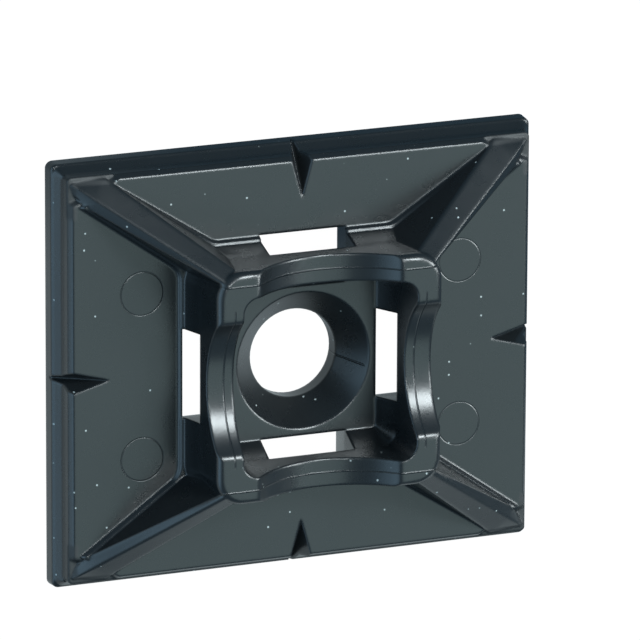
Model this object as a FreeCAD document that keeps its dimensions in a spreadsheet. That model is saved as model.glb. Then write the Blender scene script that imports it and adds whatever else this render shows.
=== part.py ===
import FreeCAD, Part
import math
import os
import Sketcher

# A moulded four-way cable tie mount that lies on its back.
# X runs along the longer side of the base, Y along the shorter side and Z out of the surface that it is
# screwed to. The origin is the centre of the back face. Lengths are in millimetres, angles in degrees.

os.makedirs("parts", exist_ok=True)
doc = FreeCAD.newDocument("tie_mount")

SIZES = [
    ("plate_length", 28.0),
    ("plate_width", 23.9),
    ("plate_corner", 0.4),
    ("plate_thickness", 1.95),
    ("rim_draft", 4.0),
    ("rim_height", 0.8),
    ("rim_round", 0.1),
    ("rim_ledge", 0.08),
    ("cove_height", 0.5),
    ("cove_slope", 35.0),
    ("cove_corner", 0.5),
    ("border", 0.57),
    ("border_draft", 6.0),
    ("panel_raise", 0.3),
    ("footing_raise", 0.25),
    ("footing_width", 0.45),
    ("footing_blend", 0.8),
    ("panel_slope", 35.0),
    ("footing_slope", 30.0),
    ("panel_corner", 0.3),
    ("side_footing_x", 13.2),
    ("side_footing_y", 9.8),
    ("end_footing_x", 10.2),
    ("end_footing_y", 10.7),
    ("end_panel_inner", 5.1),
    ("end_panel_outer", 10.65),
    ("side_panel_inner", 5.65),
    ("side_panel_outer", 10.0),
    ("frame_foot", 6.95),
    ("frame_half", 6.54),
    ("frame_corner", 1.5),
    ("foot_height", 1.3),
    ("frame_height", 4.05),
    ("frame_round", 0.45),
    ("well_half", 5.05),
    ("well_draft", 2.0),
    ("well_corner", 0.9),
    ("block_half", 4.25),
    ("slot_width", 5.0),
    ("slot_height", 3.8),
    ("slot_reach_end", 7.25),
    ("slot_reach_side", 7.05),
    ("side_slot_flare", 0.7),
    ("end_slot_flare", 0.45),
    ("saddle_depth", 1.8),
    ("saddle_half_end", 4.4),
    ("saddle_half_side", 4.05),
    ("saddle_round", 0.6),
    ("rib_start_x", 6.4),
    ("rib_start_y", 6.1),
    ("rib_angle", 36.0),
    ("rib_inset", 1.0),
    ("rib_cover", 7.4),
    ("rib_middle", 7.0),
    ("rib_length", 8.45),
    ("rib_over", 0.29),
    ("rib_low", 2.86),
    ("rib_tip", 2.1),
    ("rib_side_high", 0.05),
    ("rib_side_low", 0.6),
    ("rib_side_fall", 0.35),
    ("rib_side_foot", 0.78),
    ("rib_end_high", 0.98),
    ("rib_end_low", 1.3),
    ("rib_end_fall", 0.77),
    ("rib_end_foot_high", 1.65),
    ("rib_end_foot_low", 1.4),
    ("rib_tip_half", 0.3),
    ("rib_round_high", 0.15),
    ("rib_round_low", 0.15),
    ("rib_round_tip", 0.05),
    ("screw_hole", 5.0),
    ("countersink", 7.8),
    ("hole_wall", 0.9),
    ("notch_width", 1.6),
    ("notch_length", 2.9),
    ("notch_depth", 1.85),
]

sheet = doc.addObject("Spreadsheet::Sheet", "Sizes")
for row, (name, value) in enumerate(SIZES, start=1):
    sheet.set("A%d" % row, name)
    sheet.set("B%d" % row, str(value))
    sheet.setAlias("B%d" % row, name)
doc.recompute()

PANEL = "(Sizes.plate_thickness + Sizes.panel_raise)"
FLOOR = "(Sizes.plate_thickness + Sizes.panel_raise + Sizes.footing_raise)"
TOP = "(%s + Sizes.frame_height)" % FLOOR
HALF_LENGTH = "(Sizes.plate_length / 2)"
HALF_WIDTH = "(Sizes.plate_width / 2)"
FIELD_SIDE = "(%s - Sizes.border)" % HALF_LENGTH
FIELD_END = "(%s - Sizes.border)" % HALF_WIDTH
FOOTING = "(Sizes.frame_foot + Sizes.footing_width)"
SLOT_HALF = "(Sizes.slot_width / 2)"

body = doc.addObject("PartDesign::Body", "tie_mount")
body.Label = "tie_mount"
ORIGIN = {feature.Role: feature for feature in body.Origin.OriginFeatures}


def size(expression):
    """The number that an expression on the sheet gives now."""
    return float(sheet.evalExpression(expression))


def new_sketch(name, plane, offset="0", turn=""):
    """A sketch on one of the origin planes, moved along its normal and turned about the upright axis."""
    sketch = body.newObject("Sketcher::SketchObject", name)
    sketch.AttachmentSupport = [(ORIGIN[plane], "")]
    sketch.MapMode = "FlatFace"
    if isinstance(offset, str):
        sketch.setExpression("AttachmentOffset.Base.z", offset)
    else:
        sketch.setExpression("AttachmentOffset.Base.x", offset[0])
        sketch.setExpression("AttachmentOffset.Base.z", offset[1])
    if turn:
        upright = FreeCAD.Rotation(FreeCAD.Vector(0, 1, 0), size(turn))
        sketch.AttachmentOffset = FreeCAD.Placement(FreeCAD.Vector(), upright)
        sketch.setExpression("AttachmentOffset.Rotation.Angle", turn)
    return sketch


def bind(sketch, kind, expression, *geometry):
    """A driving dimension whose value is an expression on the sheet."""
    index = sketch.addConstraint(Sketcher.Constraint(kind, *geometry, size(expression)))
    sketch.setExpression("Constraints[%d]" % index, expression)


def pin_point(sketch, geometry, end, x, y):
    """Hold a point at a place given by two expressions."""
    for kind, axis, expression in (("DistanceX", -2, x), ("DistanceY", -1, y)):
        if expression == "0":
            sketch.addConstraint(Sketcher.Constraint("PointOnObject", geometry, end, axis))
        else:
            bind(sketch, kind, expression, -1, 1, geometry, end)


def outline(sketch, corners):
    """A closed outline through corners (x, y, radius); a corner with a radius is rounded by a tangent arc."""
    points = [FreeCAD.Vector(size(x), size(y), 0) for x, y, radius in corners]
    count = len(points)
    starts = list(points)
    ends = list(points)
    arcs = {}
    for i, (x, y, radius) in enumerate(corners):
        if not radius:
            continue
        back = (points[i - 1] - points[i]).normalize()
        ahead = (points[(i + 1) % count] - points[i]).normalize()
        half = back.getAngle(ahead) / 2
        reach = size(radius) / math.tan(half)
        ends[i] = points[i] + back * reach
        starts[i] = points[i] + ahead * reach
        middle = (back + ahead).normalize()
        centre = points[i] + middle * (size(radius) / math.sin(half))
        arcs[i] = Part.Arc(ends[i], centre - middle * size(radius), starts[i])
    lines = []
    for i in range(count):
        after = (i + 1) % count
        lines.append(sketch.addGeometry(Part.LineSegment(starts[i], ends[after]), False))
    for i, (x, y, radius) in enumerate(corners):
        before = lines[i - 1]
        after = lines[i]
        if i not in arcs:
            sketch.addConstraint(Sketcher.Constraint("Coincident", before, 2, after, 1))
            pin_point(sketch, after, 1, x, y)
            continue
        arc = sketch.addGeometry(arcs[i], False)
        first, last = 1, 2
        if (sketch.getPoint(arc, 1) - ends[i]).Length > (sketch.getPoint(arc, 2) - ends[i]).Length:
            first, last = 2, 1
        sketch.addConstraint(Sketcher.Constraint("Tangent", before, 2, arc, first))
        sketch.addConstraint(Sketcher.Constraint("Tangent", arc, last, after, 1))
        bind(sketch, "Radius", radius, arc)
        corner = sketch.addGeometry(Part.Point(points[i]), True)
        sketch.addConstraint(Sketcher.Constraint("PointOnObject", corner, 1, before))
        sketch.addConstraint(Sketcher.Constraint("PointOnObject", corner, 1, after))
        pin_point(sketch, corner, 1, x, y)


def four_way(corners):
    """Corners of the quarter with x and y above zero, in turn from +X to +Y, copied to all four quarters."""
    right = list(corners)
    left = [("-(%s)" % x, y, radius) for x, y, radius in reversed(right)]
    top = right + left
    return top + [("-(%s)" % x, "-(%s)" % y, radius) for x, y, radius in top]


def feature(kind, name, sketch=None, **sizes):
    """A feature of the body, with each size bound to an expression."""
    made = body.newObject("PartDesign::" + kind, name)
    if sketch is not None:
        made.Profile = sketch
    for key, expression in sizes.items():
        made.setExpression(key, expression)
    doc.recompute()
    return made


def pocket(name, sketch, length, toward_normal=False, symmetric=False, taper=""):
    """Cut a profile away, against its plane's normal or along it, and make sure that it cuts."""
    before = body.Shape.Volume
    made = body.newObject("PartDesign::Pocket", name)
    made.Profile = sketch
    made.Reversed = toward_normal
    if symmetric:
        made.SideType = "Symmetric"
    made.setExpression("Length", length)
    if taper:
        made.setExpression("TaperAngle", taper)
    doc.recompute()
    if body.Shape.Volume >= before:
        raise RuntimeError(name + " cuts nothing")
    return made


def mirrored(name, original, plane):
    """The mirror image of a feature across one of the origin planes."""
    made = body.newObject("PartDesign::Mirrored", name)
    made.Originals = [original]
    made.MirrorPlane = (ORIGIN[plane], [""])
    body.Tip = made
    doc.recompute()
    return made


def fillet(name, test, radius):
    """Round the edges whose every sampled point passes the test."""
    base = body.Tip
    names = []
    for number, edge in enumerate(base.Shape.Edges, start=1):
        first, last = edge.ParameterRange
        if all(test(edge.valueAt(first + (last - first) * k / 4)) for k in range(5)):
            names.append("Edge%d" % number)
    print(name, len(names), "edges")
    made = body.newObject("PartDesign::Fillet", name)
    made.Base = (base, names)
    made.setExpression("Radius", radius)
    doc.recompute()
    return made


def near(value, expression):
    return abs(value - size(expression)) < 0.002


# Base plate: a thin rim that leans in a little, then a sloping border that steepens up to the panels.
sketch = new_sketch("plate_outline", "XY_Plane")
outline(sketch, four_way([(HALF_LENGTH, HALF_WIDTH, "Sizes.plate_corner")]))
feature("Pad", "plate", sketch, Length="Sizes.rim_height", TaperAngle="-Sizes.rim_draft")
fillet("rim_edge", lambda p: near(p.z, "Sizes.rim_height"), "Sizes.rim_round")
RIM_IN = "(Sizes.rim_height * tan(Sizes.rim_draft) + Sizes.rim_ledge)"
sketch = new_sketch("cove_outline", "XY_Plane", "Sizes.rim_height")
outline(sketch, four_way([
    ("%s - %s" % (HALF_LENGTH, RIM_IN), "%s - %s" % (HALF_WIDTH, RIM_IN), "Sizes.cove_corner"),
]))
feature("Pad", "cove", sketch, Length="Sizes.cove_height", TaperAngle="-Sizes.cove_slope")
BORDER_HEIGHT = "(Sizes.plate_thickness - Sizes.rim_height - Sizes.cove_height)"
COVE_IN = "(%s + Sizes.cove_height * tan(Sizes.cove_slope))" % RIM_IN
sketch = new_sketch("border_outline", "XY_Plane", "Sizes.rim_height + Sizes.cove_height")
outline(sketch, four_way([
    ("%s - %s" % (HALF_LENGTH, COVE_IN), "%s - %s" % (HALF_WIDTH, COVE_IN), "Sizes.panel_corner"),
]))
feature("Pad", "border", sketch, Length=BORDER_HEIGHT, TaperAngle="-Sizes.border_draft")

# Panel field: one step above the border strip, with its corners cut off where the ribs run out.
INSIDE_RIB = (
    "Sizes.rib_start_x + Sizes.rib_cover * cos(Sizes.rib_angle)",
    "Sizes.rib_start_y + Sizes.rib_cover * sin(Sizes.rib_angle)",
    "",
)
sketch = new_sketch("field_outline", "XY_Plane", "Sizes.plate_thickness")
outline(sketch, four_way([
    (FIELD_SIDE, "Sizes.side_panel_outer", "Sizes.panel_corner"),
    INSIDE_RIB,
    ("Sizes.end_panel_outer", FIELD_END, "Sizes.panel_corner"),
]))
feature("Pad", "field", sketch, Length="Sizes.panel_raise", TaperAngle="-Sizes.panel_slope")

# Footing: a second step that stands round the frame and along both sides of every rib.
sketch = new_sketch("footing_outline", "XY_Plane", "Sizes.plate_thickness")
outline(sketch, four_way([
    (FOOTING, "Sizes.side_panel_inner", "Sizes.footing_blend"),
    ("Sizes.side_footing_x", "Sizes.side_footing_y", ""),
    INSIDE_RIB,
    ("Sizes.end_footing_x", "Sizes.end_footing_y", ""),
    ("Sizes.end_panel_inner", FOOTING, "Sizes.footing_blend"),
]))
feature("Pad", "footing", sketch, Length="Sizes.panel_raise + Sizes.footing_raise",
        TaperAngle="-Sizes.footing_slope")

# Frame: a square block that spreads at its foot and stands upright above.
sketch = new_sketch("foot_outline", "XY_Plane", FLOOR)
SPREAD = "(Sizes.frame_foot - Sizes.frame_half)"
outline(sketch, four_way([("Sizes.frame_foot", "Sizes.frame_foot", "Sizes.frame_corner + " + SPREAD)]))
feature("Pad", "frame_foot", sketch, Length="Sizes.foot_height",
        TaperAngle="-atan(%s / Sizes.foot_height)" % SPREAD)
sketch = new_sketch("frame_outline", "XY_Plane", FLOOR + " + Sizes.foot_height")
outline(sketch, four_way([("Sizes.frame_half", "Sizes.frame_half", "Sizes.frame_corner")]))
feature("Pad", "frame", sketch, Length="Sizes.frame_height - Sizes.foot_height")
fillet("frame_rim", lambda p: near(p.z, TOP), "Sizes.frame_round")


def saddle(name, plane, half):
    """The hollow across two opposite bars: a round trough whose ends turn over into the flat top."""
    top = size(TOP)
    depth = size("Sizes.saddle_depth")
    turn = size("Sizes.saddle_round")
    reach = size(half)
    total = (reach ** 2 + depth ** 2) / (2 * depth)
    radius = total - turn
    lean = math.asin(reach / total)
    centre = FreeCAD.Vector(0, top - depth + radius, 0)
    join = FreeCAD.Vector(radius * math.sin(lean), centre.y - radius * math.cos(lean), 0)
    sketch = new_sketch(name + "_outline", plane)
    right_lip = Part.ArcOfCircle(
        Part.Circle(FreeCAD.Vector(reach, top - turn, 0), FreeCAD.Vector(0, 0, 1), turn),
        math.pi / 2, math.pi / 2 + lean)
    left_lip = Part.ArcOfCircle(
        Part.Circle(FreeCAD.Vector(-reach, top - turn, 0), FreeCAD.Vector(0, 0, 1), turn),
        math.pi / 2 - lean, math.pi / 2)
    trough = Part.ArcOfCircle(
        Part.Circle(centre, FreeCAD.Vector(0, 0, 1), radius), 1.5 * math.pi - lean, 1.5 * math.pi + lean)
    lid = top + 1
    right_lip = sketch.addGeometry(right_lip, False)
    left_lip = sketch.addGeometry(left_lip, False)
    trough = sketch.addGeometry(trough, False)
    right = sketch.addGeometry(Part.LineSegment(FreeCAD.Vector(reach, top, 0), FreeCAD.Vector(reach, lid, 0)), False)
    over = sketch.addGeometry(Part.LineSegment(FreeCAD.Vector(reach, lid, 0), FreeCAD.Vector(-reach, lid, 0)), False)
    left = sketch.addGeometry(Part.LineSegment(FreeCAD.Vector(-reach, lid, 0), FreeCAD.Vector(-reach, top, 0)), False)
    add = sketch.addConstraint
    add(Sketcher.Constraint("Tangent", trough, 2, right_lip, 2))
    add(Sketcher.Constraint("Tangent", trough, 1, left_lip, 1))
    add(Sketcher.Constraint("Coincident", right_lip, 1, right, 1))
    add(Sketcher.Constraint("Coincident", right, 2, over, 1))
    add(Sketcher.Constraint("Coincident", over, 2, left, 1))
    add(Sketcher.Constraint("Coincident", left, 2, left_lip, 2))
    add(Sketcher.Constraint("Horizontal", over))
    add(Sketcher.Constraint("Vertical", right))
    add(Sketcher.Constraint("Vertical", left))
    bind(sketch, "Radius", "Sizes.saddle_round", right_lip)
    bind(sketch, "Radius", "Sizes.saddle_round", left_lip)
    pin_point(sketch, right_lip, 3, half, TOP + " - Sizes.saddle_round")
    pin_point(sketch, left_lip, 3, "-" + half, TOP + " - Sizes.saddle_round")
    bind(sketch, "DistanceX", half, -1, 1, right_lip, 1)
    bind(sketch, "DistanceX", "-" + half, -1, 1, left_lip, 2)
    bind(sketch, "DistanceY", TOP + " + 1", -1, 1, right, 2)
    bind(sketch, "Radius", "(%s ^ 2 + Sizes.saddle_depth ^ 2) / (2 * Sizes.saddle_depth) - Sizes.saddle_round" % half,
         trough)
    return pocket(name, sketch, "2 * Sizes.frame_foot", symmetric=True)


saddle("end_saddles", "XZ_Plane", "Sizes.saddle_half_end")
saddle("side_saddles", "YZ_Plane", "Sizes.saddle_half_side")


# Rib: a gable that falls from the corner of the frame and sinks into the plate just before its corner.
RIB_BASE = "(Sizes.rim_height / 2)"


def rib_section(name, distance, ridge, side, end, end_fall, side_foot, end_foot, rounding):
    """A cross-section of the rib at a distance from the corner of the frame."""
    start = (
        "Sizes.rib_start_y + %s * sin(Sizes.rib_angle)" % distance,
        "Sizes.rib_start_x + %s * cos(Sizes.rib_angle)" % distance,
    )
    section = new_sketch(name, "YZ_Plane", start, "Sizes.rib_angle")
    outline(section, [
        ("0", ridge, rounding),
        ("-" + side, "%s - Sizes.rib_side_fall" % ridge, rounding),
        ("-" + side_foot, RIB_BASE, ""),
        (end_foot, RIB_BASE, ""),
        (end, "%s - %s" % (ridge, end_fall), "2 * " + rounding),
    ])
    return section


high = rib_section("rib_high_section", "(-Sizes.rib_inset)", "(%s + Sizes.rib_over)" % TOP, "Sizes.rib_side_high",
                   "Sizes.rib_end_high", "Sizes.rib_end_fall", "Sizes.rib_side_foot", "Sizes.rib_end_foot_high",
                   "Sizes.rib_round_high")
middle = rib_section("rib_middle_section", "Sizes.rib_middle", "Sizes.rib_low", "Sizes.rib_side_low",
                     "Sizes.rib_end_low", "Sizes.rib_end_fall", "Sizes.rib_side_foot", "Sizes.rib_end_foot_low",
                     "Sizes.rib_round_low")
tip = rib_section("rib_tip_section", "Sizes.rib_length", "Sizes.rib_tip", "Sizes.rib_tip_half",
                  "Sizes.rib_tip_half", "Sizes.rib_side_fall", "Sizes.rib_tip_half", "Sizes.rib_tip_half",
                  "Sizes.rib_round_tip")
rib = body.newObject("PartDesign::AdditiveLoft", "rib")
rib.Profile = high
rib.Sections = [middle, tip]
rib.Ruled = True
doc.recompute()
ribs = body.newObject("PartDesign::MultiTransform", "ribs")
ribs.Originals = [rib]
across = doc.addObject("PartDesign::Mirrored", "across")
across.MirrorPlane = (ORIGIN["YZ_Plane"], [""])
along = doc.addObject("PartDesign::Mirrored", "along")
along.MirrorPlane = (ORIGIN["XZ_Plane"], [""])
ribs.Transformations = [across, along]
body.Tip = ribs
doc.recompute()

# The ribs stand up to the rounded edge of the frame, and nothing rises above its flat top.
sketch = new_sketch("top_outline", "XY_Plane", TOP)
outline(sketch, four_way([("Sizes.frame_foot", "Sizes.frame_foot", "")]))
pocket("flat_top", sketch, "Sizes.frame_height", toward_normal=True)

# Well: the open middle of the frame, then its walls lean in below the bars to the edge of the screw block.
sketch = new_sketch("well_outline", "XY_Plane", TOP)
outline(sketch, four_way([("Sizes.well_half", "Sizes.well_half", "Sizes.well_corner")]))
BAR_DEPTH = "(%s - Sizes.slot_height)" % TOP
pocket("well", sketch, BAR_DEPTH, taper="-Sizes.well_draft")
LOWER_WELL = "(Sizes.well_half - %s * tan(Sizes.well_draft))" % BAR_DEPTH
FUNNEL = "(Sizes.slot_height - %s)" % FLOOR
sketch = new_sketch("funnel_outline", "XY_Plane", "Sizes.slot_height")
outline(sketch, four_way([(LOWER_WELL, LOWER_WELL, "Sizes.well_corner")]))
pocket("funnel", sketch, FUNNEL, taper="-atan((%s - Sizes.block_half) / %s)" % (LOWER_WELL, FUNNEL))



def slot_corners(flare):
    """The profile of a tie slot seen along it: upright beside the frame and wider towards the back."""
    return [
        (SLOT_HALF + " + " + flare, "0", ""),
        (SLOT_HALF, PANEL, ""),
        (SLOT_HALF, "Sizes.slot_height", ""),
        ("-" + SLOT_HALF, "Sizes.slot_height", ""),
        ("-" + SLOT_HALF, PANEL, ""),
        ("-" + SLOT_HALF + " - " + flare, "0", ""),
    ]


# Tie slots: each runs under a bar and out through the back beside the screw block.
sketch = new_sketch("end_slot_outline", "XZ_Plane", "-Sizes.slot_reach_end")
outline(sketch, slot_corners("Sizes.end_slot_flare"))
end_slot = pocket("end_slot", sketch, "Sizes.slot_reach_end - Sizes.block_half", toward_normal=True)
mirrored("end_slots", end_slot, "XZ_Plane")
sketch = new_sketch("side_slot_outline", "YZ_Plane", "Sizes.slot_reach_side")
outline(sketch, slot_corners("Sizes.side_slot_flare"))
side_slot = pocket("side_slot", sketch, "Sizes.slot_reach_side - Sizes.block_half")
mirrored("side_slots", side_slot, "YZ_Plane")

# Screw hole: a short straight wall below a countersink whose mouth is level with the floor.
sketch = new_sketch("hole_outline", "XZ_Plane")
outline(sketch, [
    ("0", "-1", ""),
    ("Sizes.screw_hole / 2", "-1", ""),
    ("Sizes.screw_hole / 2", "Sizes.hole_wall", ""),
    ("Sizes.countersink / 2", FLOOR, ""),
    ("Sizes.countersink / 2", FLOOR + " + 1", ""),
    ("0", FLOOR + " + 1", ""),
])
hole = body.newObject("PartDesign::Groove", "screw_hole")
hole.Profile = sketch
hole.ReferenceAxis = (sketch, ["V_Axis"])
hole.Angle = 360
doc.recompute()


def notch(name, plane, edge, sign):
    """A V that is cut into the rim and rises to a point on the panel."""
    half = "(Sizes.notch_width / 2)"
    low = PANEL + " - Sizes.notch_depth"
    slope = "Sizes.notch_depth / Sizes.notch_length"
    sections = []
    for number, inward in enumerate(("-0.3", "Sizes.notch_length + 0.3")):
        at = "%s(%s - (%s))" % (sign, edge, inward)
        sketch = new_sketch("%s_section_%d" % (name, number + 1), plane, at)
        bottom = "(%s + (%s) * %s)" % (low, inward, slope)
        outline(sketch, [
            ("0", bottom, ""),
            ("2 * " + half, bottom + " + 2 * Sizes.notch_depth", ""),
            ("-2 * " + half, bottom + " + 2 * Sizes.notch_depth", ""),
        ])
        sections.append(sketch)
    made = body.newObject("PartDesign::SubtractiveLoft", name)
    made.Profile = sections[0]
    made.Sections = sections[1:]
    made.Ruled = True
    doc.recompute()
    return made


side_notch = notch("side_notch", "YZ_Plane", HALF_LENGTH, "")
mirrored("side_notches", side_notch, "YZ_Plane")
end_notch = notch("end_notch", "XZ_Plane", HALF_WIDTH, "-")
mirrored("end_notches", end_notch, "XZ_Plane")

for item in doc.Objects:
    if "Invalid" in item.State or "Error" in item.State:
        raise RuntimeError("%s failed: %s" % (item.Name, item.State))
shape = body.Shape
if shape.isNull() or not shape.isValid() or len(shape.Solids) != 1:
    raise RuntimeError("the mount is not one valid solid")
box = shape.BoundBox
print("tie_mount: %.2f x %.2f x %.2f mm, volume %.1f mm3, %d faces"
      % (box.XLength, box.YLength, box.ZLength, shape.Volume, len(shape.Faces)))
shape.exportStep("parts/tie_mount.step")
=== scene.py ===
# %% [markdown]
# # Cable tie mount
# A one-piece moulded cable tie mount lies on its back. A square frame of four low bars stands in the middle
# of a rectangular base. A cable tie goes down beside one bar and up beside the opposite one, and a screw
# goes through the middle. This script takes the solid from the CAD file and gives it the finish of moulded
# black nylon, then sets up the camera, the lamps and the floor. Lengths are in metres.

# %% Load the solid
import math
import bmesh
import bpy
from mathutils import Matrix, Vector


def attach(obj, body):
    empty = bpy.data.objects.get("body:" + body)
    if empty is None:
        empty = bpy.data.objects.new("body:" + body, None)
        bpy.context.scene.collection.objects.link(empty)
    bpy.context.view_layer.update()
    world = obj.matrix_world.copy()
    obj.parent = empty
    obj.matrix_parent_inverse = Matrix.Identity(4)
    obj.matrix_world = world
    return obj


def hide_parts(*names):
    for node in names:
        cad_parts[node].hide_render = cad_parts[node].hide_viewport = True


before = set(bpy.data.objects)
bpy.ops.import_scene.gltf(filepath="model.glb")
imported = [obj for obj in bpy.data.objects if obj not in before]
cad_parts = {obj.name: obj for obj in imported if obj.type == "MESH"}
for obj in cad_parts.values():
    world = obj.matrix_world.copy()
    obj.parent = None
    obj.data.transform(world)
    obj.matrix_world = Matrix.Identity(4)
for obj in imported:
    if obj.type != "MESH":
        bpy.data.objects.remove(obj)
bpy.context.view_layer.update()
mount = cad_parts["tie_mount"]
MM = 0.001

# %% [markdown]
# ## A clean copy for the picture
# The solid comes as loose triangles. A copy is welded together and its flat faces are merged, so that curved
# faces shade smoothly and flat ones stay flat. Edges sharper than 28 degrees keep their crease, and the
# material rounds them as light sees them. The copy replaces the solid in the picture and has its exact shape.

# %% Welded copy
CREASE = math.radians(28)


def welded_copy(source, name):
    """A welded copy of a mesh object that shades smoothly between its sharp edges."""
    mesh = source.data.copy()
    piece = bpy.data.objects.new(name, mesh)
    bpy.context.scene.collection.objects.link(piece)
    work = bmesh.new()
    work.from_mesh(mesh)
    bmesh.ops.remove_doubles(work, verts=work.verts, dist=0.002 * MM)
    bmesh.ops.dissolve_limit(work, angle_limit=math.radians(0.5), verts=work.verts, edges=work.edges)
    creases = 0
    for edge in work.edges:
        edge.smooth = len(edge.link_faces) == 2 and edge.calc_face_angle() < CREASE
        creases += not edge.smooth
    for face in work.faces:
        face.smooth = True
    work.to_mesh(mesh)
    work.free()
    normals = piece.modifiers.new("even_normals", "WEIGHTED_NORMAL")
    normals.keep_sharp = True
    normals.weight = 60
    print(name, len(mesh.polygons), "faces,", creases, "creased edges")
    return piece


moulding = welded_copy(mount, "moulding")

# %% [markdown]
# ## Moulded black nylon
# The plastic is nylon with carbon black: a very dark, faintly green-blue grey with a satin surface that the
# mould's fine texture gives it. The material is procedural, in object coordinates, so that it needs no
# picture and no unwrapping. `Maths` wraps a socket so that a formula is written as one.

# %% Socket maths
class Maths:
    """A shader value that takes part in ordinary formulas."""

    def __init__(self, tree, socket):
        self.tree = tree
        self.socket = socket

    def node(self, kind, *inputs, output=0, **settings):
        """Add a node, set or link its inputs in order and wrap one of its outputs."""
        made = self.tree.nodes.new(kind)
        for key, value in settings.items():
            setattr(made, key, value)
        for slot, value in zip(made.inputs, inputs):
            if value is None:
                continue
            if isinstance(value, Maths):
                self.tree.links.new(value.socket, slot)
            else:
                slot.default_value = value
        return Maths(self.tree, made.outputs[output])

    def output(self, name):
        """Another output of the node that this value comes from."""
        return Maths(self.tree, self.socket.node.outputs[name])

    def feed(self, node, name):
        """Link this value to a named socket of a node that is there already."""
        self.tree.links.new(self.socket, node.inputs[name])

    def op(self, operation, *inputs):
        return self.node("ShaderNodeMath", *inputs, operation=operation)

    def __add__(self, other):
        return self.op("ADD", self, other)

    def __radd__(self, other):
        return self.op("ADD", other, self)

    def __sub__(self, other):
        return self.op("SUBTRACT", self, other)

    def __rsub__(self, other):
        return self.op("SUBTRACT", other, self)

    def __mul__(self, other):
        return self.op("MULTIPLY", self, other)

    def __rmul__(self, other):
        return self.op("MULTIPLY", other, self)

    def __truediv__(self, other):
        return self.op("DIVIDE", self, other)

    def __pow__(self, other):
        return self.op("POWER", self, other)

    def abs(self):
        return self.op("ABSOLUTE", self)

    def sqrt(self):
        return self.op("SQRT", self)

    def most(self, other):
        return self.op("MAXIMUM", self, other)

    def step(self, low, high):
        """A smooth rise from 0 at low to 1 at high."""
        return self.node("ShaderNodeMapRange", self, low, high, 0.0, 1.0, interpolation_type="SMOOTHSTEP")

    def between(self, first, second):
        """The first colour where the value is 0, the second where it is 1, and their mix between."""
        return self.node("ShaderNodeMix", self, None, None, None, None, None, (*first, 1), (*second, 1),
                         data_type="RGBA", output=2)


def bump_line(distance, half_width):
    """A smooth ridge of height one where a distance is zero, gone at the half width."""
    return 1.0 - distance.abs().step(0.0, half_width)


# %% Nylon
BASE_COLOUR = (0.0065, 0.008, 0.009)
ROUGHNESS = 0.28
EDGE_ROUND = 0.24 * MM
material = bpy.data.materials.new("black_nylon")
material.use_nodes = True
tree = material.node_tree
shader = tree.nodes["Principled BSDF"]
start = Maths(tree, None)
place = start.node("ShaderNodeTexCoord", output="Object")
split = start.node("ShaderNodeSeparateXYZ", place)
x = split.output("X") / MM
y = split.output("Y") / MM
z = split.output("Z") / MM
shader.inputs["Base Color"].default_value = (*BASE_COLOUR, 1)
shader.inputs["Roughness"].default_value = ROUGHNESS
shader.inputs["IOR"].default_value = 1.53
print(material.name, "roughness", ROUGHNESS)

# %% [markdown]
# ## Marks of the mould
# The mould leaves fine marks. Four ejector pins leave thin rings of 2.44 mm on the two side panels. Where the
# cores of the mould meet, a hair-thin seam runs along the middle of every tie bar, and where the plastic
# closed behind the screw hole, a weld line crosses the countersink. All are heights in millimetres that the
# bump turns into shading: each is a smooth ridge or groove around a curve whose distance is a formula.
# A ring is |sqrt((|x| - RING_X)^2 + (|y| - RING_Y)^2) - RING_RADIUS|, and a seam is ||y| - END_SEAM_Y| or
# ||x| - SIDE_SEAM_X|. Since |x| and |y| are the same on both sides, one formula makes all four rings.

# %% Heights of the marks
RING_X = 9.28
RING_Y = 4.66
RING_RADIUS = 1.22
END_SEAM_Y = 5.75
SIDE_SEAM_X = 5.55
LINE_HALF = 0.06
WELD_HALF = 0.08
RING_HEIGHT = -0.014
END_SEAM_HEIGHT = 0.03
SIDE_SEAM_HEIGHT = -0.02
WELD_HEIGHT = 0.03
GRAIN_HEIGHT = 0.003

ring = ((x.abs() - RING_X) ** 2 + (y.abs() - RING_Y) ** 2).sqrt() - RING_RADIUS
on_panel = z.step(2.1, 2.2) * (1.0 - z.step(2.3, 2.4))
rings = bump_line(ring, LINE_HALF) * on_panel * RING_HEIGHT
on_bars = z.step(4.3, 4.5)
end_seam = bump_line(y.abs() - END_SEAM_Y, LINE_HALF) * (1.0 - x.abs().step(6.1, 6.25)) * on_bars
side_seam = bump_line(x.abs() - SIDE_SEAM_X, LINE_HALF) * (1.0 - y.abs().step(4.3, 4.5)) * on_bars
seams = end_seam * END_SEAM_HEIGHT + side_seam * SIDE_SEAM_HEIGHT
weld_band = x.step(2.3, 2.5) * (1.0 - x.step(3.6, 3.75)) * (1.0 - z.step(2.4, 2.5))
weld = bump_line(y + 0.24 + 0.31 * (x - 2.12), WELD_HALF) * weld_band * WELD_HEIGHT
grain_source = start.node("ShaderNodeTexNoise", place, None, 7000.0, 2.0, 0.6)
grain = (grain_source - 0.5) * GRAIN_HEIGHT
height = rings + seams + weld + grain
rounded_edges = start.node("ShaderNodeBevel", EDGE_ROUND, samples=16)
start.node("ShaderNodeBump", 1.0, MM, None, height, rounded_edges).feed(shader, "Normal")
print("edges rounded to", round(EDGE_ROUND / MM, 2), "mm, ring diameter", 2 * RING_RADIUS, "mm")

# %% [markdown]
# ## Satin and dust
# The gloss varies a little over the surface, as mould texture and handling leave it. A few specks of pale
# dust lie on it: cells of a fine random pattern, one in five of which holds a speck. At the plate's
# corners, where the ribs run out, the real edges are too soft to catch a line of light, so the surface is
# duller there.

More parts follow.
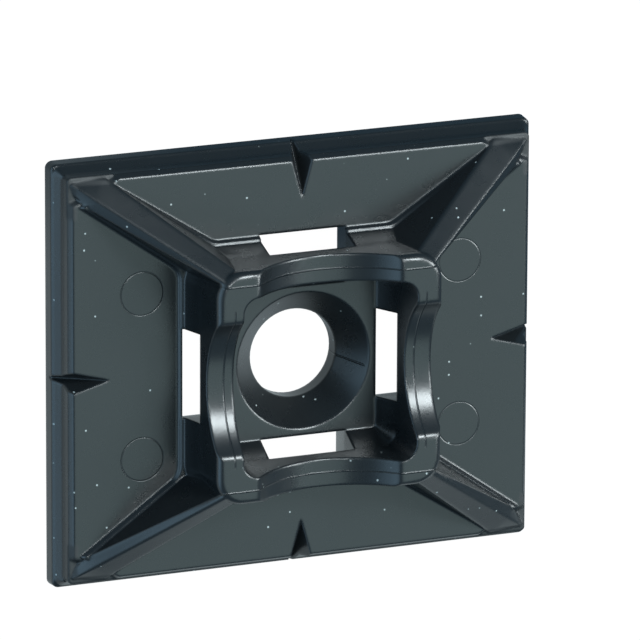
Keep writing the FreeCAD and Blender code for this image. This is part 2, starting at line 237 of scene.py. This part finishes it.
# %% Gloss and specks
GLOSS_CHANGE = 0.08
CORNER_DULLNESS = 0.3
SPECK_COLOUR = (0.28, 0.31, 0.31)
cloud = start.node("ShaderNodeTexNoise", place, None, 900.0, 3.0, 0.6)
at_ends = x.abs().step(10.7, 11.0) * y.abs().step(10.9, 11.1)
at_sides = x.abs().step(12.9, 13.1) * y.abs().step(9.0, 9.3)
dull = at_ends.most(at_sides) * z.step(1.7, 1.85)
gloss = ROUGHNESS + (cloud - 0.5) * GLOSS_CHANGE + dull * CORNER_DULLNESS
gloss.feed(shader, "Roughness")
cells = start.node("ShaderNodeTexVoronoi", place, None, 1600.0, output="Distance", feature="F1")
chance = start.node("ShaderNodeSeparateXYZ", cells.output("Color"))
speck = (1.0 - cells.step(0.05, 0.12)) * chance.step(0.80, 0.82)
speck.between(BASE_COLOUR, SPECK_COLOUR).feed(shader, "Base Color")
moulding.data.materials.clear()
moulding.data.materials.append(material)
mount.data.materials.clear()
mount.data.materials.append(material)
print(material.name, "has", len(tree.nodes), "nodes")

# %% [markdown]
# ## What rides on what
# The mount is one rigid piece, so the copy rides on the root body and replaces the solid in the picture.

# %% Riding
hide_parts("tie_mount")
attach(moulding, "root")
print(moulding.name, "rides on root")

# %% [markdown]
# ## Camera
# The mount is seen from above, a little from its left and its back edge, through a long lens from far off,
# so that opposite edges stay almost parallel.

# %% Camera
VIEW = Vector((-0.3606, 0.2805, 0.8895)).normalized()
RIGHT = Vector((0.92724, 0.00469, 0.37443)).normalized()
UP = VIEW.cross(RIGHT).normalized()
TARGET = Vector((1.1609, 2.0279, 2.0)) * MM
DISTANCE = 0.46
SENSOR_WIDTH = 36
LENS_PER_WIDTH = 13.2169
lens = bpy.data.cameras.new("camera")
lens.sensor_width = SENSOR_WIDTH
lens.lens = LENS_PER_WIDTH * SENSOR_WIDTH
lens.clip_start = 0.01
lens.clip_end = 5
camera = bpy.data.objects.new("camera", lens)
bpy.context.scene.collection.objects.link(camera)
pose = Matrix((UP.cross(VIEW), UP, VIEW)).transposed().to_4x4()
pose.translation = TARGET + VIEW * DISTANCE
camera.matrix_world = pose
bpy.context.scene.camera = camera
print("camera at", [round(v, 3) for v in pose.translation])

# %% [markdown]
# ## Light
# A black part shows little colour of its own: the eye reads the lamps that its gloss mirrors. A wide soft
# lamp overhead is where the flat faces mirror it, and gives them their dark grey. Three small lamps, beyond
# the back edge, at the right and high up, draw the bright lines along the edges that turn to them. The room
# is dim and bluish, with a brighter wall at the left, which shows in the rim on that side.

# %% Lamps
LAMP_DISTANCE = 0.4
ROOM_LIGHT = 0.26
LEFT_LIGHT = 2.0
ROOM_TINT = (0.55, 0.86, 1.12)
WHITE = (1.0, 1.0, 1.0)


def lamp(name, direction, energy, width, depth, colour):
    """An area lamp in a direction from the origin that looks back at it."""
    toward = Vector(direction).normalized()
    data = bpy.data.lights.new(name, "AREA")
    data.energy = energy
    data.shape = "RECTANGLE"
    data.size = width
    data.size_y = depth
    data.color = colour
    made = bpy.data.objects.new(name, data)
    made.matrix_world = toward.to_track_quat("Z", "Y").to_matrix().to_4x4()
    made.location = toward * LAMP_DISTANCE
    bpy.context.scene.collection.objects.link(made)
    return made


lamp("key", (0.34, 0.50, 0.80), 1.6, 0.12, 0.12, (0.88, 0.97, 1.0))
lamp("overhead", (0.33, -0.30, 0.90), 0.45, 0.34, 0.34, (0.76, 1.0, 0.98))
lamp("side", (0.76, 0.12, 0.64), 1.2, 0.14, 0.14, (0.90, 0.98, 1.0))
lamp("high", (-0.08, 0.24, 0.97), 0.35, 0.06, 0.06, (0.90, 0.98, 1.0))

world = bpy.data.worlds.new("room")
bpy.context.scene.world = world
world.use_nodes = True
room = world.node_tree
background = room.nodes["Background"]


def seen_directly(tree):
    """One for rays from the camera and through clear things, and zero for the rest."""
    from_camera = Maths(tree, None).node("ShaderNodeLightPath", output="Is Camera Ray")
    return from_camera.most(from_camera.output("Is Transmission Ray"))


room_start = Maths(room, None)
toward = room_start.node("ShaderNodeSeparateXYZ", room_start.node("ShaderNodeTexCoord", output="Generated"))
left_wall = (-1.0 * toward.output("X")).step(0.55, 0.95) * LEFT_LIGHT
seen = seen_directly(room)
lit = (left_wall + ROOM_LIGHT) * (1.0 - seen) + seen
seen.between(ROOM_TINT, WHITE).feed(background, "Color")
lit.feed(background, "Strength")
bpy.context.scene.view_settings.view_transform = "Standard"
print("four lamps, room at", ROOM_LIGHT, "with a left wall at", LEFT_LIGHT)

# %% [markdown]
# ## Floor
# The mount lies on a plain white sheet. Its paper white comes from the sheet's own colour as the camera
# sees it, and a small share of ordinary shading keeps the soft shadow round the base. Its matt colour, which
# the other rays see, is a dark blue-grey, a painted shade. Photographers lay dark and pale card round a black
# object, so that its edges stand out. There is no card here: the sheet paints its reflection instead, and
# mirrored rays see the sheet dark behind the mount and pale in front of it and to its left.

# %% Floor
FLOOR_HALF = 0.5
FLOOR_DROP = 0.02 * MM
# The sheet's matt colour is painted shade: darker than its white, so that what it bounces and its mirrored
# share stay dim.
SHADED_PAPER = (0.20, 0.30, 0.36)
PAPER_GLOW = 1.06
GLOW_SHARE = 0.94
# Share of mirrored rays that see the painted reflection instead of the sheet.
REFLECTION_PAINT_SHARE = 0.9
# Painted reflection colours: dark behind the mount, pale in front of it and to its left.
DARK_REFLECTION_PAINT = (0.04, 0.08, 0.12)
PALE_REFLECTION_PAINT = (0.66, 0.76, 0.79)
sheet = bpy.data.meshes.new("floor")
corners = [(-FLOOR_HALF, -FLOOR_HALF), (FLOOR_HALF, -FLOOR_HALF), (FLOOR_HALF, FLOOR_HALF),
           (-FLOOR_HALF, FLOOR_HALF)]
sheet.from_pydata([(cx, cy, -FLOOR_DROP) for cx, cy in corners], [], [(0, 1, 2, 3)])
floor = bpy.data.objects.new("floor", sheet)
bpy.context.scene.collection.objects.link(floor)
paper = bpy.data.materials.new("white_sheet")
paper.use_nodes = True
paper_tree = paper.node_tree
paper_tree.nodes.remove(paper_tree.nodes["Principled BSDF"])
paper_start = Maths(paper_tree, None)
matt = paper_start.node("ShaderNodeBsdfDiffuse", (*SHADED_PAPER, 1))
glow = paper_start.node("ShaderNodeEmission", (*WHITE, 1), PAPER_GLOW)
sheet_seen = paper_start.node("ShaderNodeMixShader", GLOW_SHARE * seen_directly(paper_tree), matt, glow)
spot = paper_start.node("ShaderNodeSeparateXYZ", paper_start.node("ShaderNodeTexCoord", output="Object"))
along_x = spot.output("X") / MM
along_y = spot.output("Y") / MM
# Painted reflection mask: one in front of the mount and to its left, zero behind it.
pale_reflection_side = 1.0 - (along_y + 0.6 * along_x).step(-4.0, 10.0)
painted_reflection = paper_start.node("ShaderNodeEmission", pale_reflection_side.between(DARK_REFLECTION_PAINT, PALE_REFLECTION_PAINT), 1.0)
mirrored = paper_start.node("ShaderNodeLightPath", output="Is Glossy Ray")
# Mirrored rays see mostly the painted reflection, not the sheet.
blend = paper_start.node("ShaderNodeMixShader", REFLECTION_PAINT_SHARE * mirrored, sheet_seen, painted_reflection)
blend.feed(paper_tree.nodes["Material Output"], "Surface")
sheet.materials.append(paper)
print(floor.name, "is", 2 * FLOOR_HALF, "m wide")
